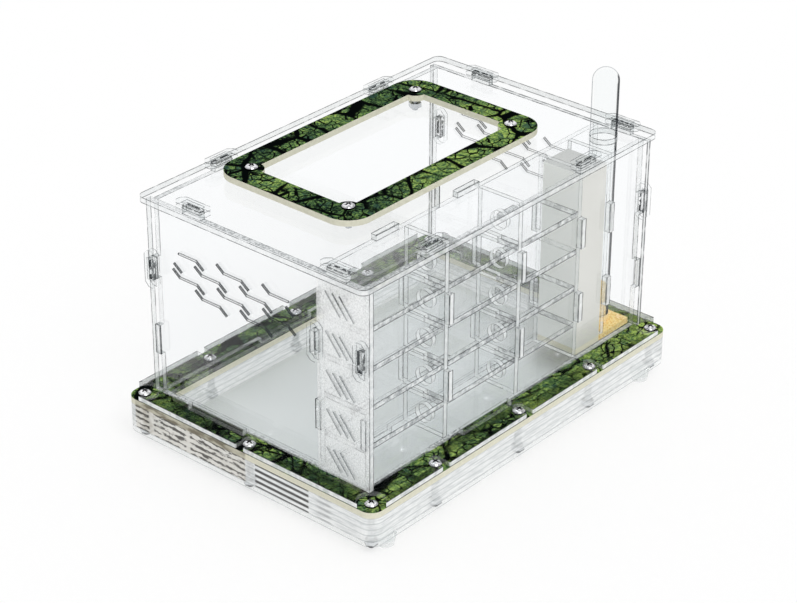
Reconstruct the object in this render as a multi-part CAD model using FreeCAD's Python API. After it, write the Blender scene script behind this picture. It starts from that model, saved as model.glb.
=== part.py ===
# Ant habitat cut from clear sheet: a louvred base tray, a glazed box with a nest and a water
# tower along its front, and a lid with a printed frame. Millimetres, +Z up, the origin on the
# floor under the middle of the base. The nest lies along the front, at -Y.
import FreeCAD
import Part
import math
import os

Vector = FreeCAD.Vector

# Sheet and fits
sheet = 3.0
fit_gap = 0.1
run_gap = 0.3

# Base tray
base_length = 220.0
base_depth = 155.0
tray_layers = 4
seat_ledge = 1.5
screw_inset = 6.5
side_screw_from_left = 50.0
side_screw_from_right = 56.0
end_screw_offset = 3.0
corner_notch_reach = 0.5
notch_mouth = 5.0
floor_sheet_thickness = 1.0

# Feet
foot_height = 6.0
foot_diameter = 10.0
foot_ground_diameter = 8.0
foot_inset_x = 15.0
foot_inset_y = 5.5

# Box: the base stands out round it by a margin
base_margin_x = 9.7
base_margin_y = 10.4
wall_height = 100.0
wall_end_margin = 2.0
wall_foot_centre = -15.5
wall_foot_length = 35.0
side_foot_from_screw = 25.0

# Tenons, and the keys on those that stand through the lid and the side walls
tenon_length = 15.0
key_tenon_length = 11.0
key_length = 19.0
key_width = 7.0
key_corner = 2.2
key_rib_width = 0.8
key_slot_play = 0.3
long_key_from_left = 45.0
long_key_from_right = 46.2
left_key_from_front = 18.5
left_key_from_back = 28.8
right_key_from_front = 15.6
right_key_from_back = 32.5
wall_key_below_lid = 34.0

# Nest: clear widths of the two rooms at the left, the third takes the rest
nest_depth = 23.7
shelf_count = 4
storey_height = 16.7
left_room_width = 52.8
middle_room_width = 48.5
doorway_diameter = 9.5
shelf_tab_length = 12.0
lid_tab_from_left = 41.8
lid_tab_pitch = 55.5
partition_foot_from_left = 37.3
partition_foot_pitch = 90.0

# Water tower: clear widths of its two bays
plaster_bay_width = 19.0
tube_bay_width = 20.8
pad_thickness = 3.0
plaster_height = 93.0
tube_clearance = 2.4
tube_diameter = 13.0
tube_wall = 1.2
tube_length = 130.0
plug_flange_height = 4.0
plug_insert_height = 15.0

# Lid and its printed frame
lid_overhang = 4.6
lid_corner_radius = 4.0
window_margin_left = 28.9
window_margin_right = 25.7
window_margin_front = 7.3
window_margin_back = 5.3
window_band = 13.3
window_screw_inset = 12.8
window_ear_radius = 6.0

# Air slots: steps in the side walls, slanted slits at the nest's end
vent_width = 1.0
vent_pitch_y = 28.0
vent_pitch_z = 6.1
vent_first_row_height = 60.0
vent_step_length = 10.8
vent_step_run = 4.0
vent_step_drop = 2.9
vent_offset_y = 0.65
vent_row_ends = ((3, 8), (0, 8), (2, 9), (1, 7))
slit_width = 1.0
slit_run = 8.0
slit_rise = 9.5
slit_pitch = 4.0
slit_count = 3

# Screws and nuts
screw_diameter = 3.0
hole_diameter = 3.4
head_diameter = 6.0
head_height = 2.2
head_rim = 0.9
recess_width = 0.9
recess_length = 3.2
recess_depth = 1.1
nut_flats = 5.5
nut_height = 2.4
screw_end = 1.4

# Heights above the floor
z_base = foot_height
z_frames = z_base + sheet
z_printed = z_frames + tray_layers * sheet
z_top_plate = z_printed + sheet
z_walls = z_top_plate + sheet
z_lid = z_walls + wall_height
z_keys = z_lid + sheet
z_shelf_pitch = storey_height + sheet

# Faces of the box
side_out = base_length / 2 - base_margin_x
side_in = side_out - sheet
end_out = base_depth / 2 - base_margin_y
front_out = end_out - wall_end_margin
front_in = front_out - sheet
front_mid = front_out - sheet / 2
partition_front = -front_in + nest_depth
partition_back = partition_front + sheet
partition_mid = partition_front + sheet / 2
nest_mid = -front_in + nest_depth / 2
opening_x = side_in - seat_ledge
opening_y = front_in - seat_ledge

# Places along the walls
long_wall_keys = (long_key_from_left - side_out, side_out - long_key_from_right)
left_wall_keys = (left_key_from_front - end_out, end_out - left_key_from_back)
right_wall_keys = (right_key_from_front - end_out, end_out - right_key_from_back)
side_foot_centre = end_screw_offset + side_foot_from_screw
lid_tab_left = lid_tab_from_left - side_in
partition_foot_left = partition_foot_from_left - side_in

# Middles of the upright plates across the nest and the tower
divider_left_x = -side_in + left_room_width + sheet / 2
divider_middle_x = divider_left_x + middle_room_width + sheet
tower_plate_right_x = side_in - tube_bay_width - sheet / 2
tower_plate_left_x = tower_plate_right_x - plaster_bay_width - sheet

# Tenons stand in the middle of the second and the fourth storey
z_tenon_low = z_walls + z_shelf_pitch + storey_height / 2
z_tenon_high = z_walls + 3 * z_shelf_pitch + storey_height / 2
z_key_tenon = z_lid - wall_key_below_lid
slot_width = sheet + 2 * fit_gap
slot_length = tenon_length + 2 * fit_gap
key_slot_length = key_tenon_length + 2 * fit_gap

# Water tower
tube_radius = tube_diameter / 2
tube_x = tower_plate_right_x + sheet / 2 + tube_clearance + tube_radius
tube_y = nest_mid
z_pad_top = z_walls + pad_thickness
z_mouth = z_pad_top + plug_flange_height

# Printed frame on the lid, over the open part of the box
window_left = -side_in + window_margin_left
window_right = side_in - window_margin_right
window_front = partition_back + window_margin_front
window_back = front_in - window_margin_back
window_frame_x = (window_left + window_right) / 2
window_frame_y = (window_front + window_back) / 2
window_frame_length = window_right - window_left
window_frame_depth = window_back - window_front


def box(x0, x1, y0, y1, z0, z1):
    """A block between two corners."""
    return Part.makeBox(x1 - x0, y1 - y0, z1 - z0, Vector(x0, y0, z0))


def rod(diameter, x, y, z0, z1):
    """An upright round rod."""
    return Part.makeCylinder(diameter / 2, z1 - z0, Vector(x, y, z0))


def rounded_plate(x_half, y_half, radius, z0, z1, x=0.0, y=0.0):
    """A flat plate with rounded corners."""
    plate = box(x - x_half, x + x_half, y - y_half, y + y_half, z0, z1)
    uprights = [edge for edge in plate.Edges if abs(edge.tangentAt(0).z) > 0.9]
    return plate.makeFillet(radius, uprights)


def joined(solids):
    """One clean solid from touching ones."""
    whole = solids[0].fuse(solids[1:]) if len(solids) > 1 else solids[0]
    return whole.removeSplitter()


def cut(solid, tools):
    """A solid with every tool taken away."""
    return solid.cut(Part.makeCompound(tools)) if tools else solid


def base_screw_places():
    """Screws along the four edges of the base, the corners first."""
    x = base_length / 2 - screw_inset
    y = base_depth / 2 - screw_inset
    corners = [(a, b) for a in (-x, x) for b in (-y, y)]
    along = (side_screw_from_left - base_length / 2, 0.0, base_length / 2 - side_screw_from_right)
    long_sides = [(a, b) for a in along for b in (-y, y)]
    short_sides = [(a, end_screw_offset) for a in (-x, x)]
    return corners, long_sides, short_sides


def all_base_screws():
    """The three groups in one list."""
    return [place for group in base_screw_places() for place in group]


def window_screw_places():
    """Screws at the corners of the lid's printed frame."""
    x = window_frame_length / 2 - window_screw_inset
    y = window_frame_depth / 2 - window_screw_inset
    return [(window_frame_x + a, window_frame_y + b) for a in (-x, x) for b in (-y, y)]


def screw_holes(places, z0, z1):
    """Clearance holes through one or more sheets."""
    return [rod(hole_diameter, x, y, z0 - 1, z1 + 1) for x, y in places]


def base_sheet(z0, z1):
    """The outline of the base, with a hole for each screw."""
    plate = rounded_plate(base_length / 2, base_depth / 2, screw_inset, z0, z1)
    return cut(plate, screw_holes(all_base_screws(), z0, z1))


def tray_opening(z0, z1):
    """The space inside the tray."""
    return box(-opening_x, opening_x, -opening_y, opening_y, z0, z1)


def tray_frame(z0):
    """One sheet of the tray's side, with the wide opening."""
    return cut(base_sheet(z0, z0 + sheet), [tray_opening(z0 - 1, z0 + sheet + 1)])


def edge_notches():
    """Bites out of the top plate that let the screw heads down to the printed sheet."""
    corners, long_sides, short_sides = base_screw_places()
    z0 = z_top_plate - 1
    z1 = z_walls + 1
    corner_diameter = 2 * (screw_inset + corner_notch_reach)
    bites = [rod(corner_diameter, x, y, z0, z1) for x, y in corners]
    bites += [rod(head_diameter + run_gap, x, y, z0, z1) for x, y in long_sides + short_sides]
    half = notch_mouth / 2
    reach = screw_inset + 1
    for x, y in long_sides:
        near, far = sorted((y, y + math.copysign(reach, y)))
        bites.append(box(x - half, x + half, near, far, z0, z1))
    for x, y in short_sides:
        near, far = sorted((x, x + math.copysign(reach, x)))
        bites.append(box(near, far, y - half, y + half, z0, z1))
    return bites


def long_wall_foot(side, gap=0.0):
    """The tenon under the front or back wall, or its slot when a gap is given."""
    half = wall_foot_length / 2 + gap
    y = side * front_mid
    return box(wall_foot_centre - half, wall_foot_centre + half,
               y - sheet / 2 - gap, y + sheet / 2 + gap, z_top_plate - gap, z_walls + gap)


def side_wall_foot(side, gap=0.0):
    """The tenon under a side wall, or its slot when a gap is given."""
    half = wall_foot_length / 2 + gap
    x = side * (side_out - sheet / 2)
    return box(x - sheet / 2 - gap, x + sheet / 2 + gap,
               side_foot_centre - half, side_foot_centre + half, z_top_plate - gap, z_walls + gap)


def partition_feet(gap=0.0):
    """The tenons under the partition, or their slots when a gap is given."""
    half = tenon_length / 2 + gap
    return [box(x - half, x + half, partition_front - gap, partition_back + gap,
                z_top_plate - gap, z_walls + gap)
            for x in (partition_foot_left, partition_foot_left + partition_foot_pitch)]


def top_plate():
    """The clear plate over the tray: open behind the partition, a floor for the nest in front."""
    z0, z1 = z_top_plate, z_walls
    plate = rounded_plate(base_length / 2, base_depth / 2, screw_inset, z0, z1)
    opening = box(-opening_x, opening_x, partition_back + seat_ledge, opening_y, z0 - 1, z1 + 1)
    slots = [long_wall_foot(side, fit_gap) for side in (-1, 1)]
    slots += [side_wall_foot(side, fit_gap) for side in (-1, 1)]
    slots += partition_feet(fit_gap)
    return cut(plate, [opening] + edge_notches() + slots)


def pan_head():
    """A screw head with a cross recess, standing on z = 0."""
    radius = head_diameter / 2
    crown = head_height - head_rim
    ball = (radius ** 2 + crown ** 2) / (2 * crown)
    shoulder = Vector(radius, 0, head_rim)
    half_angle = math.asin(radius / ball) / 2
    middle = Vector(ball * math.sin(half_angle), 0, head_height - ball + ball * math.cos(half_angle))
    top = Vector(0, 0, head_height)
    outline = [Part.makeLine(Vector(0, 0, 0), Vector(radius, 0, 0)),
               Part.makeLine(Vector(radius, 0, 0), shoulder),
               Part.Arc(shoulder, middle, top).toShape(),
               Part.makeLine(top, Vector(0, 0, 0))]
    head = Part.Face(Part.Wire(outline)).revolve(Vector(0, 0, 0), Vector(0, 0, 1), 360)
    half = recess_length / 2
    wide = recess_width / 2
    z0 = head_height - recess_depth
    arm = box(-half, half, -wide, wide, z0, head_height + 1)
    across = box(-wide, wide, -half, half, z0, head_height + 1)
    return head.cut(arm.fuse(across))


def screw(x, y, z_seat, z_end):
    """A pan head screw whose head sits at z_seat and whose end is at z_end."""
    head = pan_head()
    head.translate(Vector(x, y, z_seat))
    return joined([head, rod(screw_diameter, x, y, z_end, z_seat)])


def nut(x, y, z0):
    """A hexagon nut standing on z0."""
    radius = nut_flats / math.sqrt(3)
    turns = [math.radians(60 * n) for n in range(7)]
    points = [Vector(x + radius * math.cos(t), y + radius * math.sin(t), z0) for t in turns]
    block = Part.Face(Part.makePolygon(points)).extrude(Vector(0, 0, nut_height))
    return block.cut(rod(screw_diameter + 2 * fit_gap, x, y, z0 - 1, z0 + nut_height + 1))


def base_screws():
    """Twelve screws that clamp the stack of sheets."""
    end = z_base - nut_height - screw_end
    return Part.makeCompound([screw(x, y, z_top_plate, end) for x, y in all_base_screws()])


def base_nuts():
    """The nuts under the base."""
    return Part.makeCompound([nut(x, y, z_base - nut_height) for x, y in all_base_screws()])


def rubber_feet():
    """Four clear bumpers, one near each corner."""
    x = base_length / 2 - foot_inset_x
    y = base_depth / 2 - foot_inset_y
    feet = [Part.makeCone(foot_ground_diameter / 2, foot_diameter / 2, foot_height, Vector(a, b, 0))
            for a in (-x, x) for b in (-y, y)]
    return Part.makeCompound(feet)


def floor_sheet():
    """The pale sheet on the floor of the tray."""
    x = opening_x - run_gap
    y = opening_y - run_gap
    return box(-x, x, -y, y, z_frames, z_frames + floor_sheet_thickness)


def end_tenons(y):
    """Tenons at both ends of a wall that lies along X: long ones for the keys, short ones below."""
    y0, y1 = y - sheet / 2, y + sheet / 2
    tenons = []
    kinds = ((z_key_tenon, 2 * sheet, key_tenon_length), (z_tenon_low, sheet, tenon_length))
    for side in (-1, 1):
        for z, reach, length in kinds:
            x0, x1 = sorted((side * side_in, side * (side_in + reach)))
            tenons.append(box(x0, x1, y0, y1, z - length / 2, z + length / 2))
    return tenons


def tenon_slots(y):
    """The slots in a side wall for the tenons of a wall at y."""
    y0, y1 = y - slot_width / 2, y + slot_width / 2
    x = side_out + 1
    return [box(-x, x, y0, y1, z - length / 2, z + length / 2)
            for z, length in ((z_key_tenon, key_slot_length), (z_tenon_low, slot_length))]


def cross_plates():
    """The upright plates of the nest and the tower, by the middle of their thickness."""
    return (divider_left_x, divider_middle_x, tower_plate_left_x, tower_plate_right_x)


def cross_plate_slots(y0, y1):
    """Slots in the front wall or the partition for the tenons of the cross plates."""
    wide = slot_width / 2
    half = slot_length / 2
    return [box(x - wide, x + wide, y0 - 1, y1 + 1, z - half, z + half)
            for x in cross_plates() for z in (z_tenon_high, z_tenon_low)]


def lid_tenons(places, y):
    """Tenons on top of a wall that lies along X, through the lid and its keys."""
    half = key_tenon_length / 2
    return [box(x - half, x + half, y - sheet / 2, y + sheet / 2, z_lid, z_keys + sheet) for x in places]


def long_wall(side):
    """The back wall, or the front wall with slots for the cross plates."""
    y = side * front_mid
    y0, y1 = y - sheet / 2, y + sheet / 2
    body = box(-side_in, side_in, y0, y1, z_walls, z_lid)
    pieces = [body, long_wall_foot(side)] + end_tenons(y) + lid_tenons(long_wall_keys, y)
    wall = joined(pieces)
    return cut(wall, cross_plate_slots(y0, y1)) if side < 0 else wall


def stepped_vents():
    """Air slots shaped like a step, in rows that stagger by half a pitch."""
    half = vent_step_length / 2
    x = side_out + 1
    middle = (partition_back + front_in) / 2 + vent_offset_y
    tools = []
    for row, (first, last) in enumerate(vent_row_ends):
        z = z_walls + vent_first_row_height + row * vent_pitch_z
        back = middle + vent_pitch_y * (1.5 if row % 2 == 0 else 1.0)
        for piece in range(first, last + 1):
            y = back - vent_pitch_y * (piece // 3)
            path = [(y + half + vent_step_run, z + vent_step_drop), (y + half, z),
                    (y - half, z), (y - half - vent_step_run, z - vent_step_drop)]
            tools.append(wall_slit(x, path[piece % 3], path[piece % 3 + 1], vent_width))
    return tools


def wall_slit(x, start, end, width):
    """A straight slit through both side walls, from one (y, z) place to another."""
    (y0, z0), (y1, z1) = start, end
    length = math.hypot(y1 - y0, z1 - z0)
    ux, uz = (y1 - y0) / length, (z1 - z0) / length
    over = width / 2
    wide = width / 2
    points = []
    for along, across in ((-over, -wide), (length + over, -wide), (length + over, wide), (-over, wide)):
        points.append(Vector(-x, y0 + along * ux - across * uz, z0 + along * uz + across * ux))
    points.append(points[0])
    return Part.Face(Part.makePolygon(points)).extrude(Vector(2 * x, 0, 0))


def nest_slits():
    """Slanted air slits at the nest's left end, one group for each storey."""
    tools = []
    for storey in range(shelf_count + 1):
        z = z_walls + storey * z_shelf_pitch + (storey_height - slit_rise) / 2
        for n in range(slit_count):
            y = nest_mid - slit_run / 2 + (n - (slit_count - 1) / 2) * slit_pitch
            tools.append(wall_slit(side_out + 1, (y, z), (y + slit_run, z + slit_rise), slit_width))
    return tools


def side_wall(side):
    """A side wall with its slots; the left one also airs the nest."""
    x0, x1 = sorted((side * side_in, side * side_out))
    body = box(x0, x1, -end_out, end_out, z_walls, z_lid)
    half = key_tenon_length / 2
    places = left_wall_keys if side < 0 else right_wall_keys
    tops = [box(x0, x1, y - half, y + half, z_lid, z_keys + sheet) for y in places]
    wall = joined([body, side_wall_foot(side)] + tops)
    tools = tenon_slots(-front_mid) + tenon_slots(front_mid) + tenon_slots(partition_mid)
    tools += stepped_vents()
    if side < 0:
        tools += nest_slits()
    return cut(wall, tools)


def bays():
    """The middle of each bay of the nest, from the left."""
    half = sheet / 2
    edges = [(-side_in, divider_left_x - half),
             (divider_left_x + half, divider_middle_x - half),
             (divider_middle_x + half, tower_plate_left_x - half)]
    return [(a + b) / 2 for a, b in edges]


def shelf_levels():
    """The underside of each shelf."""
    return [z_walls + n * z_shelf_pitch - sheet for n in range(1, shelf_count + 1)]


def shelf_tab(x, z, gap=0.0):
    """A shelf's tab in the partition, or its slot when a gap is given."""
    half = shelf_tab_length / 2 + gap
    return box(x - half, x + half, partition_front - gap, partition_back + gap, z - gap, z + sheet + gap)


def partition_tabs():
    """The middles of the partition's tabs in the lid."""
    return (lid_tab_left, lid_tab_left + lid_tab_pitch)


def nest_partition():
    """The back wall of the nest, across the whole box."""
    body = box(-side_in, side_in, partition_front, partition_back, z_walls, z_lid)
    half = tenon_length / 2
    tops = [box(x - half, x + half, partition_front, partition_back, z_lid, z_keys)
            for x in partition_tabs()]
    wall = joined([body] + partition_feet() + end_tenons(partition_mid) + tops)
    tools = cross_plate_slots(partition_front, partition_back)
    tools += [shelf_tab(x, z, fit_gap) for x in bays() for z in shelf_levels()]
    return cut(wall, tools)


def nest_shelf(z):
    """One shelf, slotted from the front where the dividers cross it."""
    body = box(-side_in, tower_plate_left_x - sheet / 2, -front_in, partition_front, z, z + sheet)
    shelf = joined([body] + [shelf_tab(x, z) for x in bays()])
    wide = slot_width / 2
    laps = [box(x - wide, x + wide, -front_in - 1, nest_mid + fit_gap, z - 1, z + sheet + 1)
            for x in (divider_left_x, divider_middle_x)]
    return cut(shelf, laps)


def plate_across(x, z0):
    """An upright plate across the nest, with tenons into the front wall and the partition."""
    half = sheet / 2
    body = box(x - half, x + half, -front_in, partition_front, z0, z_lid)
    reach = tenon_length / 2
    tenons = []
    for z in (z_tenon_high, z_tenon_low):
        tenons.append(box(x - half, x + half, -front_out, -front_in, z - reach, z + reach))
        tenons.append(box(x - half, x + half, partition_front, partition_back, z - reach, z + reach))
    return joined([body] + tenons)


def nest_divider(x):
    """A divider with a round doorway in each storey, slotted from the back for the shelves."""
    wide = sheet / 2 + 1
    laps = [box(x - wide, x + wide, nest_mid - fit_gap, partition_back + 1, z - fit_gap, z + sheet + fit_gap)
            for z in shelf_levels()]
    doors = []
    for storey in range(shelf_count + 1):
        z = z_walls + storey * z_shelf_pitch + storey_height / 2
        doors.append(Part.makeCylinder(doorway_diameter / 2, 2 * wide, Vector(x - wide, nest_mid, z),
                                       Vector(1, 0, 0)))
    return cut(plate_across(x, z_walls), laps + doors)


def plaster_block():
    """The plaster block that takes up the water."""
    x0 = tower_plate_left_x + sheet / 2 + run_gap
    x1 = tower_plate_right_x - sheet / 2 - run_gap
    return box(x0, x1, -front_in + run_gap, partition_front - run_gap, z_pad_top, z_pad_top + plaster_height)


def sponge_pad():
    """The wick under the plaster block and the tube."""
    x0 = tower_plate_left_x + sheet / 2 + run_gap
    return box(x0, side_in - run_gap, -front_in + run_gap, partition_front - run_gap, z_walls, z_pad_top)


def water_tube():
    """A test tube standing on its mouth, with its round end up."""
    z_centre = z_mouth + tube_length - tube_radius
    inner = tube_radius - tube_wall
    outside = [rod(tube_diameter, tube_x, tube_y, z_mouth, z_centre),
               Part.makeSphere(tube_radius, Vector(tube_x, tube_y, z_centre))]
    inside = [rod(2 * inner, tube_x, tube_y, z_mouth - 1, z_centre),
              Part.makeSphere(inner, Vector(tube_x, tube_y, z_centre))]
    return outside[0].fuse(outside[1]).cut(inside[0].fuse(inside[1])).removeSplitter()


def tube_plug():
    """The foam plug in the tube's mouth, its wide end on the pad."""
    inner = tube_diameter - 2 * tube_wall - 2 * fit_gap
    flange = rod(tube_diameter, tube_x, tube_y, z_pad_top, z_mouth)
    return joined([flange, rod(inner, tube_x, tube_y, z_mouth, z_mouth + plug_insert_height)])


def long_key_places():
    """The lid's keys over the front and the back wall."""
    return [(x, y) for x in long_wall_keys for y in (-front_mid, front_mid)]


def side_key_places():
    """The lid's keys over the side walls."""
    x = side_out - sheet / 2
    return [(-x, y) for y in left_wall_keys] + [(x, y) for y in right_wall_keys]


def lid_plate():
    """The lid, with slots for the tenons and a hole for the tube."""
    x_half = side_out + lid_overhang
    y_half = front_out + sheet + run_gap
    plate = rounded_plate(x_half, y_half, lid_corner_radius, z_lid, z_keys)
    half = key_slot_length / 2
    wide = slot_width / 2
    z0, z1 = z_lid - 1, z_keys + 1
    slots = [box(x - half, x + half, y - wide, y + wide, z0, z1) for x, y in long_key_places()]
    slots += [box(x - wide, x + wide, y - half, y + half, z0, z1) for x, y in side_key_places()]
    half = slot_length / 2
    slots += [box(x - half, x + half, partition_mid - wide, partition_mid + wide, z0, z1)
              for x in partition_tabs()]
    tube_hole = rod(tube_diameter + 2 * run_gap, tube_x, tube_y, z0, z1)
    return cut(plate, slots + [tube_hole] + screw_holes(window_screw_places(), z_lid, z_keys))


def printed_lid_frame():
    """The printed frame on the lid, with an ear inside each corner."""
    x_half = window_frame_length / 2
    y_half = window_frame_depth / 2
    z0, z1 = z_keys, z_keys + sheet
    plate = rounded_plate(x_half, y_half, window_screw_inset, z0, z1, window_frame_x, window_frame_y)
    window = box(window_left + window_band, window_right - window_band,
                 window_front + window_band, window_back - window_band, z0 - 1, z1 + 1)
    ears = [rod(2 * window_ear_radius, x, y, z0, z1) for x, y in window_screw_places()]
    frame = joined([plate.cut(window)] + ears)
    return cut(frame, screw_holes(window_screw_places(), z0, z1))


def lid_screws():
    """Four screws through the printed frame and the lid."""
    end = z_lid - nut_height - screw_end
    return Part.makeCompound([screw(x, y, z_keys + sheet, end) for x, y in window_screw_places()])


def lid_nuts():
    """The nuts under the lid."""
    return Part.makeCompound([nut(x, y, z_lid - nut_height) for x, y in window_screw_places()])


def key():
    """A key with cut corners, lying along X on z = 0, whose slot grips a tenon with small ribs."""
    x, y = key_length / 2, key_width / 2
    nx, ny = x - key_corner, y - key_corner
    outline = [(x, -ny), (x, ny), (nx, y), (-nx, y), (-x, ny), (-x, -ny), (-nx, -y), (nx, -y), (x, -ny)]
    blank = Part.Face(Part.makePolygon([Vector(a, b, 0) for a, b in outline])).extrude(Vector(0, 0, sheet))
    half = key_slot_length / 2
    wide = sheet / 2 + key_slot_play
    slot = box(-half, half, -wide, wide, -1, sheet + 1)
    ribs = []
    for x in (-half / 3, half / 3):
        for side in (-1, 1):
            y0, y1 = sorted((side * (sheet / 2 + fit_gap / 2), side * (wide + 1)))
            ribs.append(box(x - key_rib_width / 2, x + key_rib_width / 2, y0, y1, -2, sheet + 2))
    return blank.cut(slot.cut(Part.makeCompound(ribs)))


def lid_keys():
    """The keys on the tenons that stand through the lid."""
    keys = []
    for places, turn in ((long_key_places(), 0), (side_key_places(), 90)):
        for x, y in places:
            piece = key()
            piece.rotate(Vector(0, 0, 0), Vector(0, 0, 1), turn)
            piece.translate(Vector(x, y, z_keys))
            keys.append(piece)
    return Part.makeCompound(keys)


def wall_keys():
    """The upright keys on the tenons that stand through the side walls."""
    keys = []
    for y in (-front_mid, partition_mid, front_mid):
        for x in (-side_out - sheet, side_out):
            piece = key()
            piece.rotate(Vector(0, 0, 0), Vector(0, 1, 0), 90)
            piece.translate(Vector(x, y, z_key_tenon))
            keys.append(piece)
    return Part.makeCompound(keys)


def nodes():
    """Every sub-part by its name."""
    made = {
        "base_plate": base_sheet(z_base, z_frames),
        "printed_base_frame": tray_frame(z_printed),
        "top_plate": top_plate(),
        "base_screws": base_screws(),
        "base_nuts": base_nuts(),
        "rubber_feet": rubber_feet(),
        "floor_sheet": floor_sheet(),
        "front_wall": long_wall(-1),
        "back_wall": long_wall(1),
        "left_wall": side_wall(-1),
        "right_wall": side_wall(1),
        "nest_partition": nest_partition(),
        "nest_divider_left": nest_divider(divider_left_x),
        "nest_divider_middle": nest_divider(divider_middle_x),
        "tower_plate_left": plate_across(tower_plate_left_x, z_walls),
        "tower_plate_right": plate_across(tower_plate_right_x, z_pad_top + run_gap),
        "plaster_block": plaster_block(),
        "sponge_pad": sponge_pad(),
        "water_tube": water_tube(),
        "tube_plug": tube_plug(),
        "lid_plate": lid_plate(),
        "printed_lid_frame": printed_lid_frame(),
        "lid_screws": lid_screws(),
        "lid_nuts": lid_nuts(),
        "lid_keys": lid_keys(),
        "wall_keys": wall_keys(),
    }
    for n in range(tray_layers):
        made["tray_frame_%d" % (n + 1)] = tray_frame(z_frames + n * sheet)
    for n, z in enumerate(shelf_levels()):
        made["nest_shelf_%d" % (n + 1)] = nest_shelf(z)
    return made


def write_all():
    """Write one file for each sub-part."""
    os.makedirs("parts", exist_ok=True)
    for name, shape in nodes().items():
        if not shape.isValid():
            raise ValueError("bad shape: " + name)
        shape.exportStep("parts/" + name + ".step")
        print(name, len(shape.Solids), round(shape.Volume, 1))


write_all()
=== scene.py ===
# The looks of the ant habitat: clear sheets with cut edges, printed frames, chrome screws, plaster,
# sponge and tube. Metres, +Z up, in the same frame as the solids.
import bpy
import math
from mathutils import Matrix, Vector


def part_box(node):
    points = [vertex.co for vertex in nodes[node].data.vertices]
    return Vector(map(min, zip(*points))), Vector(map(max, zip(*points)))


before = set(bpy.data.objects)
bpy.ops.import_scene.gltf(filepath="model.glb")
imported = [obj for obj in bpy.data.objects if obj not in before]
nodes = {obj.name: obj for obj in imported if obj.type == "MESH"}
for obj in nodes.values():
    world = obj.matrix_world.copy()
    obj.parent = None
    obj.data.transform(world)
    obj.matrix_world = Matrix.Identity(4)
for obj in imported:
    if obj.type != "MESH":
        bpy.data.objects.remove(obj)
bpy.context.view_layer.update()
scene = bpy.context.scene
MM = 0.001

# Camera, from the photograph's own lines
CAMERA_AZIMUTH = math.radians(-49.15)
CAMERA_ELEVATION = math.radians(29.07)
CAMERA_ROLL = math.radians(0.25)
CAMERA_PLACE = Vector((-0.7846, -0.6752, 0.6320))
CAMERA_LENS = 112.66
SENSOR_WIDTH = 36.0

# Places on the walls: the heights between which air slots lie, how far out they reach, the nest's back,
# the heights between which the haze at the nest's end grows, and the sum of X and Y from the far to the
# near corner of the box
VENT_LOW = 30.0 * MM
VENT_HIGH = 124.5 * MM
VENT_REACH = 65.3 * MM
NEST_BACK = -36.9 * MM
HAZE_LOW = 70.0 * MM
HAZE_HIGH = 120.0 * MM
FAR_CORNER = 45.0 * MM
NEAR_CORNER = -75.0 * MM

# The tray's left side, as stretches along Y, where painted shade and reflections lie on its edges
LEFT_SIDE_X = -100.0 * MM
CLEAN_BARS = (-39.5 * MM, -6.5 * MM)
FAINT_BARS = (-53.0 * MM, -44.5 * MM)
STREAKS = (-0.5 * MM, 71.0 * MM)
PALE_COLUMNS = ((35.0 * MM, 37.5 * MM), (59.0 * MM, 62.0 * MM))

# Light
WORLD_LIGHT = 0.62
SUN_LIGHT = 1.45
SUN_ANGLE = math.radians(40)
SUN_DIRECTION = Vector((0.30, 0.62, -1.0))
FLOOR_SIZE = 12.0
FLOOR_WHITE = 0.7

# Print: patterns a metre, the height that parts the base's print from the lid's, how far leaves are bent
# out of place, and colours
LEAF_SCALE = 380.0
TWIG_SCALE = 200.0
BRANCH_SCALE = 46.0
BASE_PRINT_TO = 45.0 * MM
LEAF_PUSH = 5.0 * MM
LEAF_DARK = (0.028, 0.060, 0.034)
LEAF_MIDDLE = (0.120, 0.225, 0.070)
LEAF_LIME = (0.400, 0.545, 0.130)
LEAF_BLUE = (0.040, 0.095, 0.075)
PRINT_BLACK = (0.002, 0.003, 0.003)
CREAM_DARK = (0.62, 0.60, 0.47)
CREAM_PALE = (0.80, 0.785, 0.66)
# Painted shade and reflections: the dark streaks on the cream at the base's left end
CREAM_PAINTED_SHADE = (0.12, 0.10, 0.07)

# Heights of the nuts and heads of the base's screws, and of those of the lid
NUTS_TO = 4.4 * MM
HEADS_FROM = 23.8 * MM
LID_NUTS_FROM = 110.0 * MM
LID_HEADS_FROM = 132.8 * MM

# Clear sheet
SHEET_IOR = 1.49
SHEET_GLOSS = 0.10
EDGE_GLOSS = 0.06
SHEET_TINT = (0.992, 0.995, 0.997)
SHADOW_TINT = (0.955, 0.96, 0.96)
EDGE_LINE_WIDTH = 0.40 * MM
END_LINE_WIDTH = 1.0 * MM
# Painted shade: the dark lines along cut edges stand in for refraction
EDGE_PAINTED_SHADE = (0.03, 0.036, 0.04)
EDGE_GREY = (0.74, 0.77, 0.78)
EDGE_WHITE = (0.97, 0.98, 0.98)
EDGE_TINT = (0.99, 0.995, 0.995)
BASE_TINT = (0.985, 0.99, 0.99)
# Painted shade: the base plate's edge lines
BASE_SHADE_LINE = (0.45, 0.48, 0.48)
SAWN_DARK = (0.20, 0.21, 0.22)
SAWN_PALE = (0.78, 0.80, 0.81)
SHELF_GREY = (0.26, 0.27, 0.285)
# Painted highlight: the pale grey and white of the dividers' cut edges
DIVIDER_HIGHLIGHT_GREY = (0.86, 0.88, 0.885)
HAZE = (0.95, 0.96, 0.96)

# Tray sheets' edges, with painted shade and reflections on the left end
BAR_PAINTED_SHADE = (0.055, 0.052, 0.050)
STREAK_PAINTED_SHADE = (0.030, 0.024, 0.018)
TRAY_GREY = (0.66, 0.68, 0.69)
TRAY_PALE = (0.93, 0.94, 0.94)
TRAY_LINE = (0.50, 0.53, 0.53)
SHADED_TAN_DARK = (0.50, 0.42, 0.30)
SHADED_TAN_PALE = (0.86, 0.84, 0.78)

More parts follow.
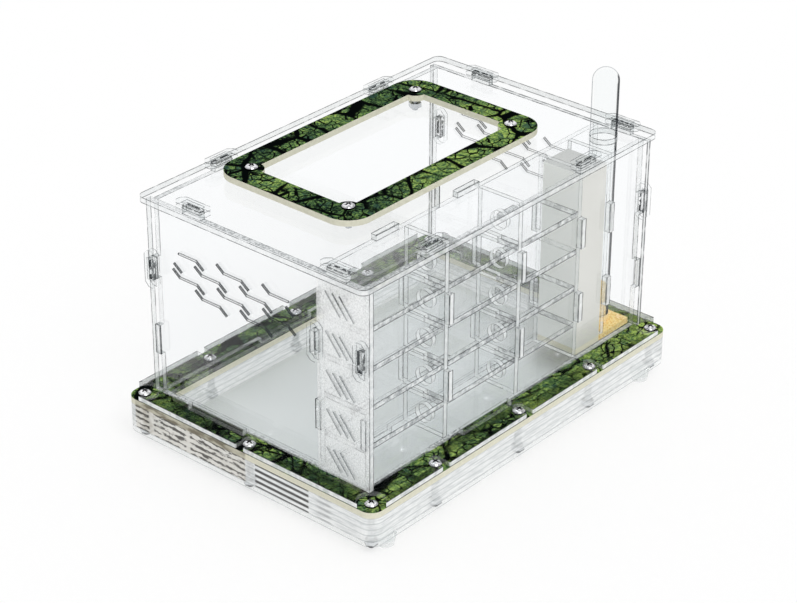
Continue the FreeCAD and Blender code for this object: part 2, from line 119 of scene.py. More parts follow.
# Metal, with painted reflections, painted shadow and painted shade
CHROME = (0.90, 0.90, 0.92)
CHROME_PAINTED_REFLECTION = (0.10, 0.10, 0.11)
CHROME_SLOPE_PAINTED_REFLECTION = (0.20, 0.20, 0.21)
SHANK = (0.62, 0.64, 0.66)
HEAD_RIM_PAINTED_SHADE = (0.04, 0.04, 0.045)
NUT_PAINTED_SHADE = (0.05, 0.05, 0.055)

# Other materials
FLOOR_SHEET_DARK = (0.71, 0.745, 0.75)
FLOOR_SHEET_PALE = (0.78, 0.805, 0.81)
PLASTER_DARK = (0.72, 0.71, 0.665)
PLASTER_PALE = (0.80, 0.79, 0.75)
PLASTER_PORE = (0.55, 0.54, 0.50)
# Painted light on the plaster's left faces and painted shade on its top
PLASTER_LEFT_PAINTED_LIGHT = (0.97, 0.965, 0.93)
PLASTER_TOP_PAINTED_SHADE = (0.58, 0.59, 0.58)
SPONGE_DARK = (0.82, 0.50, 0.14)
SPONGE_PALE = (1.0, 0.79, 0.38)
SPONGE_COVERED = (0.84, 0.80, 0.66)
FOAM_DARK = (0.90, 0.62, 0.26)
FOAM_PALE = (1.0, 0.82, 0.50)
BUMPER = (0.90, 0.93, 0.93)
# Painted shade for the tube's side lines, standing in for refraction
TUBE_PAINTED_SHADE = (0.03, 0.035, 0.04)
TUBE_SHADE_GREY = (0.36, 0.39, 0.41)
WHITE = (1.0, 1.0, 1.0)

# How many surfaces a ray may meet
MOST_BOUNCES = 32
MOST_REFRACTIONS = 24
MOST_CLEAR_FACES = 48


def camera_axes():
    """The camera's right, up and back directions."""
    sin_a, cos_a = math.sin(CAMERA_AZIMUTH), math.cos(CAMERA_AZIMUTH)
    sin_e, cos_e = math.sin(CAMERA_ELEVATION), math.cos(CAMERA_ELEVATION)
    right = Vector((cos_a, sin_a, 0.0))
    back = Vector((sin_a * cos_e, -cos_a * cos_e, sin_e))
    up = back.cross(right)
    sin_r, cos_r = math.sin(CAMERA_ROLL), math.cos(CAMERA_ROLL)
    return cos_r * right + sin_r * up, cos_r * up - sin_r * right, back


def add_camera():
    """The camera at the photograph's viewing angle."""
    data = bpy.data.cameras.new("camera")
    data.lens = CAMERA_LENS
    data.sensor_width = SENSOR_WIDTH
    data.sensor_fit = "HORIZONTAL"
    data.clip_start = 0.01
    data.clip_end = 50.0
    camera = bpy.data.objects.new("camera", data)
    scene.collection.objects.link(camera)
    right, up, back = camera_axes()
    turn = Matrix((right, up, back)).transposed()
    camera.matrix_world = Matrix.Translation(CAMERA_PLACE) @ turn.to_4x4()
    scene.camera = camera


class Shader:
    """A node tree that is built a node at a time. A socket or a plain value goes in as an argument."""

    def __init__(self, name, world=False):
        self.owner = bpy.data.worlds.new(name) if world else bpy.data.materials.new(name)
        self.owner.use_nodes = True
        self.tree = self.owner.node_tree
        self.tree.nodes.clear()
        self.out = self.tree.nodes.new("ShaderNodeOutputWorld" if world else "ShaderNodeOutputMaterial")

    def node(self, kind, inputs=None, **settings):
        """A node with its settings, and its inputs by name or number."""
        made = self.tree.nodes.new("ShaderNode" + kind)
        for key, value in settings.items():
            setattr(made, key, value)
        for key, value in (inputs or {}).items():
            self.put(made.inputs[key], value)
        return made

    def put(self, socket, value):
        """Links a socket, or sets a plain value."""
        if isinstance(value, bpy.types.NodeSocket):
            self.tree.links.new(value, socket)
        elif isinstance(value, (tuple, list)) and len(value) == 3 and socket.type == "RGBA":
            socket.default_value = (*value, 1.0)
        else:
            socket.default_value = value

    def math(self, operation, a, b=0.0, c=0.0, clamp=False):
        """One arithmetic step."""
        made = self.node("Math", {0: a, 1: b, 2: c}, operation=operation, use_clamp=clamp)
        return made.outputs[0]

    def step(self, value, low, high):
        """0 below low and 1 above high, smooth between; falls instead where low is the higher."""
        made = self.node("MapRange", {"Value": value}, interpolation_type="SMOOTHSTEP")
        flip = low > high
        first, last = (high, low) if flip else (low, high)
        made.inputs["From Min"].default_value = first
        made.inputs["From Max"].default_value = last
        made.inputs["To Min"].default_value = 1.0 if flip else 0.0
        made.inputs["To Max"].default_value = 0.0 if flip else 1.0
        return made.outputs[0]

    def mix(self, factor, a, b, blend="MIX"):
        """Two colours, mixed."""
        made = self.node("Mix", data_type="RGBA", blend_type=blend)
        self.put(made.inputs[0], factor)
        self.put(made.inputs[6], a)
        self.put(made.inputs[7], b)
        return made.outputs[2]

    def blend(self, factor, a, b):
        """Two numbers, mixed."""
        made = self.node("Mix", data_type="FLOAT")
        self.put(made.inputs[0], factor)
        self.put(made.inputs[2], a)
        self.put(made.inputs[3], b)
        return made.outputs[0]

    def place(self):
        """The point on the object, in metres, and its three coordinates."""
        point = self.node("TexCoord").outputs["Object"]
        parts = self.node("SeparateXYZ", {0: point}).outputs
        return point, parts[0], parts[1], parts[2]

    def facing(self):
        """The three parts of the surface's direction."""
        return self.node("SeparateXYZ", {0: self.node("NewGeometry").outputs["True Normal"]}).outputs

    def stretched(self, point, scale, turn=(0.0, 0.0, 0.0)):
        """The point in another scale."""
        return self.node("Mapping", {"Vector": point, "Scale": scale, "Rotation": turn}).outputs[0]

    def noise(self, point, scale, detail=2.0, rough=0.5, warp=0.0):
        """Soft random values around a half."""
        made = self.node("TexNoise", {"Vector": point, "Scale": scale, "Detail": detail,
                                      "Roughness": rough, "Distortion": warp})
        return made.outputs[0]

    def cells(self, point, scale, feature="F1", output=0, random=1.0):
        """A pattern of cells."""
        made = self.node("TexVoronoi", {"Vector": point, "Scale": scale, "Randomness": random},
                         feature=feature)
        return made.outputs[output]

    def bump(self, height, strength, distance):
        """A surface direction with small bumps."""
        made = self.node("Bump", {"Height": height})
        made.inputs["Strength"].default_value = strength
        made.inputs["Distance"].default_value = distance
        return made.outputs[0]

    def surface(self, **inputs):
        """A surface shader; underscores in a name stand for spaces."""
        made = self.node("BsdfPrincipled")
        for key, value in inputs.items():
            self.put(made.inputs[key.replace("_", " ")], value)
        return made.outputs[0]

    def join(self, factor, a, b):
        """Two shaders, mixed."""
        made = self.node("MixShader", {0: factor, 1: a, 2: b})
        return made.outputs[0]

    def finish(self, shader):
        """Puts the shader on the output and returns the material."""
        self.put(self.out.inputs["Surface"], shader)
        return self.owner


def clear(shader, tint):
    """What lets everything straight through."""
    return shader.node("BsdfTransparent", {"Color": tint}).outputs[0]


def lets_light_by(shader, solid, tint=SHADOW_TINT):
    """The same surface, but lamps and bounced light pass it."""
    path = shader.node("LightPath").outputs
    passes = shader.math("MAXIMUM", path["Is Shadow Ray"], path["Is Diffuse Ray"])
    return shader.join(passes, solid, clear(shader, tint))


def sheet_faces(shader):
    """The polished faces of a clear sheet, with a slight gloss."""
    gloss = shader.node("BsdfGlossy", {"Color": WHITE, "Roughness": 0.02}).outputs[0]
    share = shader.node("Fresnel", {"IOR": 1.25}).outputs[0]
    return shader.join(shader.math("MULTIPLY", share, SHEET_GLOSS), clear(shader, SHEET_TINT), gloss)


def sheet_rims(shader, axis, low, high, mirrored=False, width=EDGE_LINE_WIDTH):
    """How near a point of the cut edge is to a face of its sheet, 1 at the face."""
    place = shader.place()[1 + axis]
    if mirrored:
        place = shader.math("ABSOLUTE", place)
    middle = (low + high) / 2
    off = shader.math("ABSOLUTE", shader.math("SUBTRACT", place, middle))
    half = (high - low) / 2
    return shader.step(off, half - 1.5 * width, half - 0.6 * width)


def is_edge(shader, axis):
    """1 on the cut edges of a sheet and 0 on its faces."""
    return shader.step(shader.math("ABSOLUTE", shader.facing()[axis]), 0.75, 0.55)


def cut_edge(shader, rims, dark=EDGE_PAINTED_SHADE, pale_cover=0.26, dark_cover=0.80, grey=EDGE_GREY):
    """A cut edge: nearly clear, with a thin dark line along each face; the lines are painted shade that stands
    in for refraction at the edge.
    """
    point = shader.place()[0]
    cloud = shader.noise(point, 260.0, 3.0, 0.65)
    pale = shader.mix(shader.step(cloud, 0.35, 0.62), grey, EDGE_WHITE)
    solid = shader.surface(Base_Color=shader.mix(rims, pale, dark), Roughness=0.25, IOR=SHEET_IOR,
                           Specular_IOR_Level=EDGE_GLOSS)
    broken = shader.step(shader.noise(point, 190.0, 2.0), 0.34, 0.52)
    lines = shader.math("MULTIPLY", shader.math("MULTIPLY_ADD", broken, 0.55, 0.45), dark_cover)
    cover = shader.blend(rims, shader.math("MULTIPLY_ADD", cloud, 0.3, pale_cover - 0.15), lines)
    return shader.join(cover, clear(shader, EDGE_TINT), solid)


def clear_sheet(name, axis, low, high, mirrored=False, **look):
    """A clear sheet whose thickness lies along one axis, between two values."""
    shader = Shader(name)
    rims = sheet_rims(shader, axis, low, high, mirrored)
    whole = shader.join(is_edge(shader, axis), sheet_faces(shader), cut_edge(shader, rims, **look))
    return shader.finish(lets_light_by(shader, whole))


def top_plate(low, high):
    """The clear plate over the print, pale at its outer edges and faint round the screws."""
    shader = Shader("top_plate")
    _, x, y, _ = shader.place()
    rims = sheet_rims(shader, 2, low[2], high[2])
    far_x = shader.step(shader.math("ABSOLUTE", x), high[0] - 1.0 * MM, high[0] - 0.5 * MM)
    far_y = shader.step(shader.math("ABSOLUTE", y), high[1] - 1.0 * MM, high[1] - 0.5 * MM)
    outer = shader.math("MAXIMUM", far_x, far_y)
    faint = cut_edge(shader, rims, pale_cover=0.16, dark_cover=0.42)
    edge = shader.join(outer, faint, cut_edge(shader, rims, pale_cover=0.80, dark_cover=0.80))
    whole = shader.join(is_edge(shader, 2), sheet_faces(shader), edge)
    return shader.finish(lets_light_by(shader, whole))


def box_wall(name, axis, low, high):
    """A wall of the box. Its air slots show as thin dark lines, its tenons outside the box as dark ones; these
    lines are painted shade.
    """
    shader = Shader(name)
    point, x, y, z = shader.place()
    lid_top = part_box("lid_plate")[1][2]
    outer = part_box("right_wall")[1][0]
    across = shader.math("ABSOLUTE", x)
    edge = is_edge(shader, axis)
    width = END_LINE_WIDTH if name == "right_wall" else EDGE_LINE_WIDTH
    rims = sheet_rims(shader, axis, low, high, width=width)
    top = shader.step(shader.facing()[2], 0.8, 0.95)
    grooves = shader.noise(shader.stretched(point, (1.0, 1.0, 0.1)), 900.0, 2.0, 0.7)
    sawn = shader.surface(Base_Color=shader.mix(shader.step(grooves, 0.40, 0.60), SAWN_DARK, SAWN_PALE),
                          Roughness=0.5, Specular_IOR_Level=EDGE_GLOSS)
    near = shader.step(shader.math("ADD", x, y), FAR_CORNER, NEAR_CORNER)
    shown = shader.math("MULTIPLY", top, shader.math("MULTIPLY_ADD", near, 0.55, 0.10))
    edges = shader.join(shown, cut_edge(shader, rims, pale_cover=0.42), sawn)
    whole = shader.join(edge, wall_faces(shader, name, y), edges)
    if axis == 0:
        in_slot = shader.math("MULTIPLY", vent_area(shader, y, z), edge)
        whole = shader.join(in_slot, whole, slot_sides(shader, across, y, outer))
    over = shader.step(z, lid_top + 0.3 * MM, lid_top + 0.5 * MM)
    if axis == 1:
        past = shader.step(across, outer + 0.3 * MM, outer + 0.5 * MM)
        over = shader.math("MAXIMUM", over, past)
    whole = shader.join(over, whole, clear(shader, SHEET_TINT))
    # Painted shade: broken dark lines at the foot and end of each tenon
    tenon_line_breaks = shader.step(shader.noise(point, 420.0, 1.0), 0.40, 0.48)
    tip = shader.math("MULTIPLY", over, shader.math("MULTIPLY", tenon_line_breaks, 0.95))
    tip = shader.math("MULTIPLY", tip, tenon_line(shader, axis, x, z, lid_top, outer))
    painted_shade = shader.surface(Base_Color=EDGE_PAINTED_SHADE, Roughness=0.3, Specular_IOR_Level=EDGE_GLOSS)
    whole = shader.join(tip, whole, painted_shade)
    return shader.finish(lets_light_by(shader, whole))


def vent_area(shader, y, z):
    """1 on the part of a side wall that has air slots."""
    height = between(shader, z, VENT_LOW, VENT_HIGH, 0.5 * MM)
    sideways = shader.math("ABSOLUTE", y)
    return shader.math("MULTIPLY", height,
                       shader.step(sideways, VENT_REACH + 0.3 * MM, VENT_REACH - 0.3 * MM))


def slot_sides(shader, across, y, outer):
    """The sides of an air slot: clear, with a dark line of painted shade near the wall's outer face, fainter at
    the nest.
    """
    rim = shader.step(across, outer - 1.0 * MM, outer - 0.5 * MM)
    slope = shader.step(shader.math("ABSOLUTE", shader.facing()[2]), 0.93, 0.80)
    line = shader.math("MULTIPLY", rim, shader.math("MULTIPLY_ADD", slope, 0.20, 0.72))
    open_part = shader.step(y, NEST_BACK - 0.5 * MM, NEST_BACK + 0.5 * MM)
    line = shader.math("MULTIPLY", line, shader.math("MULTIPLY_ADD", open_part, 0.5, 0.5))
    line = shader.math("MULTIPLY_ADD", shader.math("SUBTRACT", 1.0, rim), 0.05, line)
    painted_shade = shader.surface(Base_Color=EDGE_PAINTED_SHADE, Roughness=0.4, Specular_IOR_Level=EDGE_GLOSS)
    return shader.join(line, clear(shader, SHEET_TINT), painted_shade)


def tenon_line(shader, axis, x, z, lid_top, outer):
    """1 on a thin line along the foot and the end of a tenon, where painted shade goes."""
    up = shader.math("SUBTRACT", z, lid_top)
    foot = between(shader, up, 0.6 * MM, 1.5 * MM, 0.2 * MM)
    if axis == 0:
        return foot
    away = shader.math("SUBTRACT", shader.math("ABSOLUTE", x), outer)
    return shader.math("MAXIMUM", foot, between(shader, away, 0.4 * MM, 2.2 * MM, 0.2 * MM))


def wall_faces(shader, name, y):
    """The faces of a wall; the left one is hazier where it closes the nest's end."""
    faces = sheet_faces(shader)
    if name != "left_wall":
        return faces
    at_nest = shader.step(y, NEST_BACK + 0.5 * MM, NEST_BACK - 0.5 * MM)
    haze = shader.surface(Base_Color=HAZE, Roughness=0.6, Specular_IOR_Level=EDGE_GLOSS)
    point, _, _, z = shader.place()
    mottle = shader.step(shader.noise(point, 1100.0, 2.0, 0.8), 0.30, 0.70)
    high = shader.step(z, HAZE_LOW, HAZE_HIGH)
    cover = shader.math("MULTIPLY_ADD", mottle, 0.30, shader.math("MULTIPLY_ADD", high, 0.22, 0.24))
    cover = shader.math("MULTIPLY", at_nest, cover)
    return shader.join(cover, faces, haze)


def leaves(shader, flat, bent, along, base_painted_light):
    """Leaf greens in patches, with painted light: lighter towards the right front and more so on the base."""
    tone = shader.node("SeparateColor", {0: shader.cells(bent, LEAF_SCALE, output="Color")}).outputs
    fine = shader.step(shader.noise(flat, 800.0, 4.0, 0.78), 0.32, 0.68)
    glade = shader.step(shader.noise(flat, 26.0, 2.0), 0.36, 0.66)
    light = shader.math("MULTIPLY_ADD", tone[0], 0.26, shader.math("MULTIPLY", fine, 0.55))
    light = shader.math("MULTIPLY_ADD", glade, 0.26, light)
    light = shader.math("MULTIPLY_ADD", along, 0.36, shader.math("SUBTRACT", light, 0.17))
    light = shader.math("MULTIPLY_ADD", base_painted_light, 0.16, light)
    green = shader.mix(shader.step(light, 0.16, 0.40), PRINT_BLACK, LEAF_DARK)
    green = shader.mix(shader.step(light, 0.36, 0.62), green, LEAF_MIDDLE)
    green = shader.mix(shader.step(light, 0.58, 0.92), green, LEAF_LIME)
    bluish = shader.math("MULTIPLY", shader.step(tone[1], 0.80, 0.95), 0.5)
    return shader.mix(bluish, green, LEAF_BLUE)


def twigs(shader, flat, bent):
    """1 on the thin twigs between the leaves."""
    off = shader.cells(bent, TWIG_SCALE, feature="DISTANCE_TO_EDGE")
    grown = shader.math("MULTIPLY_ADD", shader.step(shader.noise(flat, 70.0, 1.0), 0.36, 0.52), 0.7, 0.3)
    return shader.math("MULTIPLY", shader.step(off, 0.085, 0.045), grown)


def branches(shader, flat, bent, along, base_painted_light):
    """1 on the branches, which are thinner where the painted light makes the leaves lighter."""
    off = shader.cells(bent, BRANCH_SCALE, feature="DISTANCE_TO_EDGE")
    reach = shader.math("MULTIPLY_ADD", along, -0.055, -0.025)
    reach = shader.math("MULTIPLY_ADD", shader.noise(flat, 45.0, 2.0), 0.20, reach)
    reach = shader.math("MULTIPLY_ADD", base_painted_light, -0.03, reach)
    return shader.step(shader.math("SUBTRACT", off, reach), 0.02, -0.02)


def printed_sheet():
    """Leaves under dark twigs and branches on top, cream at the cut edges and beneath. The leaves carry painted
    light, and the cream on the base's left end has painted shade in streaks.
    """
    shader = Shader("printed_sheet")
    point, x, y, z = shader.place()
    flat = shader.node("CombineXYZ", {0: x, 1: y}).outputs[0]
    push = shader.node("TexNoise", {"Vector": flat, "Scale": 90.0, "Detail": 2.0}).outputs["Color"]
    push = shader.node("VectorMath", {0: push, 1: (LEAF_PUSH, LEAF_PUSH, 0.0)}, operation="MULTIPLY").outputs[0]
    bent = shader.node("VectorMath", {0: flat, 1: push}, operation="ADD").outputs[0]
    # Painted light and shade: the print grows lighter towards the right front, and more so on the base
    along = shader.math("MULTIPLY_ADD", shader.math("SUBTRACT", x, y), 1.3, 0.5, clamp=True)
    on_base = shader.step(z, BASE_PRINT_TO + 5.0 * MM, BASE_PRINT_TO - 5.0 * MM)
    base_painted_light = shader.math("MULTIPLY", on_base, along)
    green = leaves(shader, flat, bent, along, base_painted_light)
    green = shader.mix(twigs(shader, flat, bent), green, PRINT_BLACK)
    green = shader.mix(branches(shader, flat, bent, along, base_painted_light), green, PRINT_BLACK)
    top = shader.step(shader.facing()[2], 0.5, 0.7)
    grain = shader.noise(point, 700.0, 2.0)
    cream = shader.mix(grain, CREAM_DARK, CREAM_PALE)
    # Painted shade and reflections: the cream edges on the base's left end darken in uneven streaks
    shown = shader.math("MULTIPLY", on_left_side(shader, x), on_base)
    shaded_cream = shader.math("MULTIPLY", shown, between(shader, y, *STREAKS, 0.7 * MM))
    shade_breakup = shader.step(shader.noise(shader.stretched(point, (1.0, 0.3, 1.0)), 330.0, 3.0), 0.38, 0.60)
    shaded_cream = shader.math("MULTIPLY", shaded_cream, shader.math("MULTIPLY_ADD", shade_breakup, 0.55, 0.30))
    cream = shader.mix(shaded_cream, cream, CREAM_PAINTED_SHADE)
    rough = shader.blend(top, 0.35, 0.10)
    return shader.finish(shader.surface(Base_Color=shader.mix(top, cream, green), Roughness=rough, IOR=1.5,
                                        Specular_IOR_Level=0.0))


def chrome():
    """Polished screws and nuts: bright, with a dark cross and a dark rim on a head. The dark patches, slopes
    and cross are painted reflections, the head's dark rim is painted shadow and reflection, and the dark nuts
    are painted shade.
    """
    shader = Shader("chrome")
    point, _, _, z = shader.place()
    fine = shader.noise(point, 1500.0, 2.0)
    up = shader.facing()[2]
    # Painted reflections: dark patches on the top faces, and darker sloping faces
    reflection_patch = shader.step(shader.noise(point, 650.0, 1.0), 0.52, 0.60)
    top = shader.mix(shader.math("MULTIPLY", reflection_patch, 0.55), CHROME, CHROME_PAINTED_REFLECTION)
    color = shader.mix(shader.step(up, 0.60, 0.90), CHROME_SLOPE_PAINTED_REFLECTION, top)
    head = shader.math("MAXIMUM", between(shader, z, HEADS_FROM, LID_NUTS_FROM, 0.1 * MM),
                       shader.step(z, LID_HEADS_FROM - 0.1 * MM, LID_HEADS_FROM + 0.1 * MM))
    # Painted shadow and reflection: the side of a head is dark
    side = shader.mix(head, SHANK, HEAD_RIM_PAINTED_SHADE)
    color = shader.mix(shader.step(up, 0.45, 0.25), color, side)
    # Painted shade: the nuts and screw tips below the tray are dark
    color = shader.mix(shader.step(z, NUTS_TO, NUTS_TO - 0.4 * MM), color, NUT_PAINTED_SHADE)
    return shader.finish(shader.surface(Base_Color=color, Metallic=1.0,
                                        Roughness=shader.math("MULTIPLY_ADD", fine, 0.12, 0.05),
                                        Normal=shader.bump(fine, 0.08, 0.1 * MM)))


def floor_sheet():
    """The pale grey satin sheet in the tray."""
    shader = Shader("floor_sheet")
    point = shader.place()[0]
    cloud = shader.noise(point, 25.0, 3.0)
    grain = shader.noise(point, 1400.0, 2.0)
    color = shader.mix(cloud, FLOOR_SHEET_DARK, FLOOR_SHEET_PALE)
    return shader.finish(shader.surface(Base_Color=color, Roughness=0.38,
                                        Normal=shader.bump(grain, 0.15, 0.1 * MM)))


def plaster():
    """Cast plaster with small pores. Its left faces are painted lighter and its top darker: painted light and
    painted shade.
    """
    shader = Shader("plaster")
    point = shader.place()[0]
    cloud = shader.noise(point, 60.0, 4.0)
    pore = shader.step(shader.cells(point, 900.0), 0.22, 0.05)
    color = shader.mix(cloud, PLASTER_DARK, PLASTER_PALE)
    color = shader.mix(shader.math("MULTIPLY", pore, 0.4), color, PLASTER_PORE)
    turned = shader.facing()
    # Painted light: left faces lighter; painted shade: top faces darker
    left = shader.math("MULTIPLY", shader.step(turned[0], -0.5, -0.8), 0.9)
    color = shader.mix(left, color, PLASTER_LEFT_PAINTED_LIGHT)
    top = shader.math("MULTIPLY", shader.step(turned[2], 0.5, 0.8), 0.9)
    color = shader.mix(top, color, PLASTER_TOP_PAINTED_SHADE)
    height = shader.math("SUBTRACT", shader.noise(point, 1800.0, 3.0), pore)
    return shader.finish(shader.surface(Base_Color=color, Roughness=0.92,
                                        Normal=shader.bump(height, 0.35, 0.2 * MM)))


def sponge(name, dark, light, covered_to=0.0):
    """Open sponge or foam, pale up to where the plaster covers it."""
    shader = Shader(name)
    point, x, _, _ = shader.place()
    pore = shader.cells(point, 850.0)
    color = shader.mix(shader.step(pore, 0.1, 0.7), dark, light)
    if covered_to:
        color = shader.mix(shader.step(x, covered_to, covered_to - 0.5 * MM), color, SPONGE_COVERED)
    return shader.finish(shader.surface(Base_Color=color, Roughness=0.95,
                                        Normal=shader.bump(pore, 0.5, 0.4 * MM)))


def soft_clear():
    """The clear bumpers."""
    shader = Shader("soft_clear")
    point = shader.place()[0]
    solid = shader.surface(Base_Color=BUMPER, Transmission_Weight=0.85, IOR=1.42,
                           Roughness=0.18, Normal=shader.bump(shader.noise(point, 500.0), 0.1, 0.2 * MM))
    return shader.finish(lets_light_by(shader, solid))


def tube():
    """The thin clear wall of the water tube, seen by the dark lines at its sides: painted shade that stands in
    for refraction, darkest on the side turned to the right front.
    """
    shader = Shader("tube")
    low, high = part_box("water_tube")
    middle = [(a + b) / 2 for a, b in zip(low, high)]
    radius = (high[0] - low[0]) / 2
    _, x, y, z = shader.place()
    past = shader.math("MAXIMUM", shader.math("SUBTRACT", z, high[2] - radius), 0.0)
    off = shader.node("CombineXYZ", {0: shader.math("SUBTRACT", x, middle[0]),
                                     1: shader.math("SUBTRACT", y, middle[1]), 2: past}).outputs[0]
    out = shader.node("VectorMath", {0: off}, operation="LENGTH").outputs["Value"]
    outside = shader.step(out, radius - 0.6 * MM, radius - 0.3 * MM)
    parts = shader.facing()
    edge = shader.node("LayerWeight", {"Blend": 0.5}).outputs["Facing"]
    # Painted shade: the side turned to the right front gets the darker line
    side = shader.math("MULTIPLY_ADD", parts[0], 0.65, shader.math("MULTIPLY", parts[1], -0.76))
    right = shader.math("MULTIPLY", shader.step(side, 0.5, 0.8), shader.step(past, 4.5 * MM, 2.5 * MM))
    line = shader.blend(right, shader.step(edge, 0.60, 0.74), shader.step(edge, 0.44, 0.56))
    front = shader.math("SUBTRACT", 1.0, shader.node("NewGeometry").outputs["Backfacing"])
    line = shader.math("MULTIPLY", line, shader.math("MULTIPLY", outside, front))
    color = shader.mix(right, TUBE_SHADE_GREY, TUBE_PAINTED_SHADE)
    solid = shader.node("BsdfDiffuse", {"Color": color}).outputs[0]
    cover = shader.math("MULTIPLY_ADD", line, shader.blend(right, 0.60, 0.92), 0.008)
    return shader.finish(lets_light_by(shader, shader.join(cover, clear(shader, EDGE_TINT), solid)))


def between(shader, value, low, high, soft):
    """1 between two values, with soft ends."""
    return shader.math("MULTIPLY", shader.step(value, low - soft, low + soft),
                       shader.step(value, high + soft, high - soft))


def on_left_side(shader, x):
    """1 on the tray's left end."""
    return shader.step(x, LEFT_SIDE_X, LEFT_SIDE_X - 2.0 * MM)


def ragged_lines(shader, point, z, low, high):
    """1 on uneven dark lines that wander about the joints between the tray's sheets: painted shade and
    reflections.
    """
    wander = shader.noise(shader.stretched(point, (0.0, 1.0, 2.0)), 260.0, 4.0, 0.7)
    moved = shader.math("MULTIPLY_ADD", shader.math("SUBTRACT", wander, 0.5), 3.0 * MM, z)
    off = shader.math("PINGPONG", shader.math("SUBTRACT", moved, low), (high - low) / 2)
    blot = shader.noise(shader.stretched(point, (0.0, 0.6, 2.5)), 230.0, 4.0, 0.7)
    thick = shader.math("MULTIPLY_ADD", blot, 5.0 * MM, -1.9 * MM)
    return shader.step(shader.math("SUBTRACT", off, thick), 0.15 * MM, -0.15 * MM)


def tray_sheet(name, low, high):
    """A sheet of the tray's side. Its faces meet the next sheets, so only its edges are seen. On the left end
    its edges carry painted shade and reflections: dark bars, ragged dark lines and a tan tone.
    """
    shader = Shader(name)
    point, x, y, z = shader.place()
    rims = sheet_rims(shader, 2, low, high, width=0.30 * MM)
    wide = sheet_rims(shader, 2, low, high, width=0.7 * MM)
    left = shader.math("MULTIPLY", shader.step(shader.facing()[0], -0.5, -0.8), on_left_side(shader, x))
    wave = shader.noise(shader.stretched(point, (1.0, 0.30, 1.3)), 480.0, 4.0, 0.6)
    clean = between(shader, y, *CLEAN_BARS, 0.4 * MM)
    faint = shader.math("MULTIPLY", between(shader, y, *FAINT_BARS, 2.0 * MM), 0.5)
    dim = shader.math("MULTIPLY", between(shader, y, *STREAKS, 0.7 * MM), 0.95)
    column = shader.math("MAXIMUM", *(between(shader, y, *ends, 0.5 * MM) for ends in PALE_COLUMNS))
    # Painted shade and reflections on the left end: dark bars at the joints and ragged dark lines, but not in
    # the pale columns
    bars = shader.math("MULTIPLY", wide, shader.math("ADD", clean, faint))
    murk = shader.math("MULTIPLY", shader.math("MULTIPLY", dim, ragged_lines(shader, point, z, low, high)),
                       shader.math("SUBTRACT", 1.0, column))
    dark = shader.math("MULTIPLY", left, shader.math("MAXIMUM", bars, murk))
    painted_shade = shader.mix(dim, BAR_PAINTED_SHADE, STREAK_PAINTED_SHADE)
    cloud = shader.noise(shader.stretched(point, (0.35, 0.35, 3.0)), 420.0, 4.0, 0.65)
    pale = shader.mix(shader.step(cloud, 0.34, 0.62), TRAY_GREY, TRAY_PALE)
    pale = shader.mix(shader.math("MULTIPLY", rims, 0.75), pale, TRAY_LINE)
    # Painted shade: a tan tone on the left end where the ragged lines lie
    tan = shader.mix(wave, SHADED_TAN_DARK, SHADED_TAN_PALE)
    pale = shader.mix(shader.math("MULTIPLY", shader.math("MULTIPLY", left, dim), 0.8), pale, tan)
    solid = shader.surface(Base_Color=shader.mix(dark, pale, painted_shade), Roughness=0.25, IOR=SHEET_IOR,
                           Specular_IOR_Level=EDGE_GLOSS)
    cover = shader.math("MAXIMUM", 0.66, shader.math("MULTIPLY", dark, 0.95))
    edge = shader.join(cover, clear(shader, EDGE_TINT), solid)
    face = clear(shader, EDGE_TINT)
    return shader.finish(lets_light_by(shader, shader.join(is_edge(shader, 2), face, edge)))


def base_plate(low, high):
    """The bottom sheet, whose top face meets the tray's first sheet."""
    shader = Shader("base_plate")
    edge = cut_edge(shader, sheet_rims(shader, 2, low, high), dark=BASE_SHADE_LINE)
    face = clear(shader, BASE_TINT)
    return shader.finish(lets_light_by(shader, shader.join(is_edge(shader, 2), face, edge)))


# The axis along which each clear sheet is thin, the box's walls, and how each sheet's cut edges look
THIN_AXIS = {"top_plate": 2, "lid_plate": 2, "lid_keys": 2, "front_wall": 1, "back_wall": 1,
             "nest_partition": 1, "left_wall": 0, "right_wall": 0, "nest_divider_left": 0,
             "nest_divider_middle": 0, "tower_plate_left": 0, "tower_plate_right": 0,
             "nest_shelf_1": 2, "nest_shelf_2": 2, "nest_shelf_3": 2, "nest_shelf_4": 2}

BOX_WALLS = ("front_wall", "back_wall", "left_wall", "right_wall")
KEY_LOOK = {"pale_cover": 0.14, "dark_cover": 0.62}
SHELF_LOOK = {"pale_cover": 0.55, "dark_cover": 0.85, "grey": SHELF_GREY}
# Painted highlight: the cut edges of the dividers and tower plates are mostly white
PAINTED_HIGHLIGHT_LOOK = {"pale_cover": 0.62, "dark_cover": 0.80, "grey": DIVIDER_HIGHLIGHT_GREY}
LID_LOOK = {"pale_cover": 0.42, "dark_cover": 0.80}
LOOKS = {"lid_keys": KEY_LOOK, "lid_plate": LID_LOOK, "nest_divider_left": PAINTED_HIGHLIGHT_LOOK,
         "nest_divider_middle": PAINTED_HIGHLIGHT_LOOK, "tower_plate_left": PAINTED_HIGHLIGHT_LOOK, "tower_plate_right": PAINTED_HIGHLIGHT_LOOK}


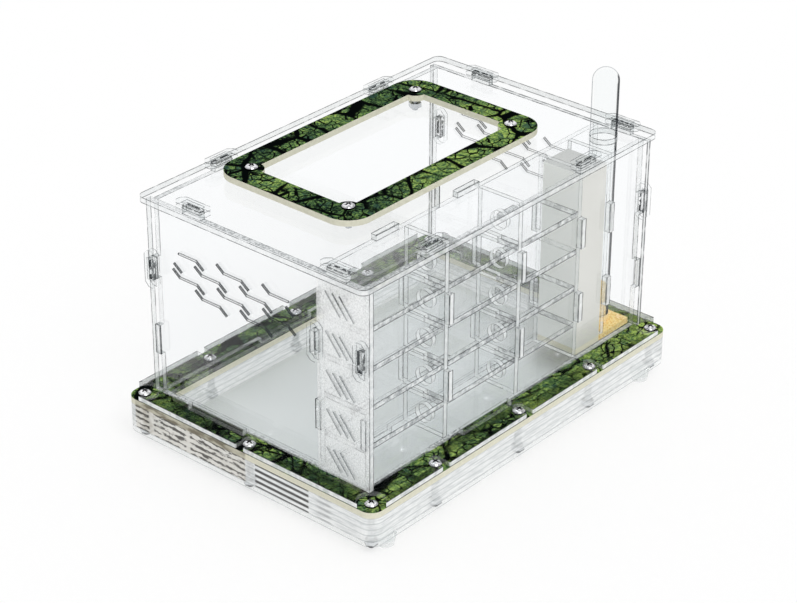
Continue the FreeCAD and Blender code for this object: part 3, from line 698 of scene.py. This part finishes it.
def paint():
    """Gives every solid its material."""
    metal = chrome()
    leaf_print = printed_sheet()
    plaster_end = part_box("tower_plate_right")[0][0]
    found = {"printed_base_frame": leaf_print, "printed_lid_frame": leaf_print, "base_screws": metal,
             "base_nuts": metal, "lid_screws": metal, "lid_nuts": metal, "floor_sheet": floor_sheet(),
             "plaster_block": plaster(),
             "sponge_pad": sponge("sponge", SPONGE_DARK, SPONGE_PALE, plaster_end),
             "tube_plug": sponge("plug_foam", FOAM_DARK, FOAM_PALE),
             "rubber_feet": soft_clear(), "water_tube": tube()}
    for name, axis in THIN_AXIS.items():
        low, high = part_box(name)
        look = SHELF_LOOK if name.startswith("nest_shelf") else LOOKS.get(name, {})
        if name == "top_plate":
            found[name] = top_plate(low, high)
        elif name in BOX_WALLS:
            found[name] = box_wall(name, axis, low[axis], high[axis])
        else:
            found[name] = clear_sheet(name, axis, low[axis], high[axis], **look)
    low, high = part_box("right_wall")
    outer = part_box("wall_keys")[1][0]
    found["wall_keys"] = clear_sheet("wall_keys", 0, high[0], outer, mirrored=True, **KEY_LOOK)
    for name in nodes:
        if name.startswith("tray_frame"):
            low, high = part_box(name)
            found[name] = tray_sheet(name, low[2], high[2])
    low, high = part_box("base_plate")
    found["base_plate"] = base_plate(low[2], high[2])
    for name, node in nodes.items():
        node.data.materials.clear()
        node.data.materials.append(found[name])


def add_floor():
    """A white floor that keeps a faint shadow where it is seen."""
    bpy.ops.mesh.primitive_plane_add(size=FLOOR_SIZE)
    floor = bpy.context.object
    floor.name = "floor"
    shader = Shader("floor")
    matt = shader.node("BsdfDiffuse", {"Color": WHITE}).outputs[0]
    white = shader.node("Emission", {"Color": WHITE, "Strength": 1.0}).outputs[0]
    share = shader.math("MULTIPLY", seen_rays(shader), FLOOR_WHITE)
    floor.data.materials.append(shader.finish(shader.join(share, matt, white)))


def seen_rays(shader):
    """1 for what is seen, straight or in glass and metal, and 0 for what only lights."""
    path = shader.node("LightPath").outputs
    seen = shader.math("MAXIMUM", path["Is Camera Ray"], path["Is Glossy Ray"])
    return shader.math("MAXIMUM", seen, path["Is Transmission Ray"])


def add_world():
    """Even light all round, and white where it is seen."""
    shader = Shader("world", world=True)
    lit = shader.node("Background", {"Color": WHITE, "Strength": WORLD_LIGHT}).outputs[0]
    white = shader.node("Background", {"Color": WHITE, "Strength": 1.0}).outputs[0]
    shader.put(shader.out.inputs["Surface"], shader.join(seen_rays(shader), lit, white))
    scene.world = shader.owner


def add_sun():
    """One soft lamp from the front."""
    data = bpy.data.lights.new("sun", "SUN")
    data.energy = SUN_LIGHT
    data.angle = SUN_ANGLE
    sun = bpy.data.objects.new("sun", data)
    scene.collection.objects.link(sun)
    sun.rotation_euler = SUN_DIRECTION.to_track_quat("-Z", "Y").to_euler()


add_camera()
paint()
add_floor()
add_world()
add_sun()
scene.view_settings.view_transform = "Standard"
scene.cycles.max_bounces = MOST_BOUNCES
scene.cycles.transmission_bounces = MOST_REFRACTIONS
scene.cycles.transparent_max_bounces = MOST_CLEAR_FACES
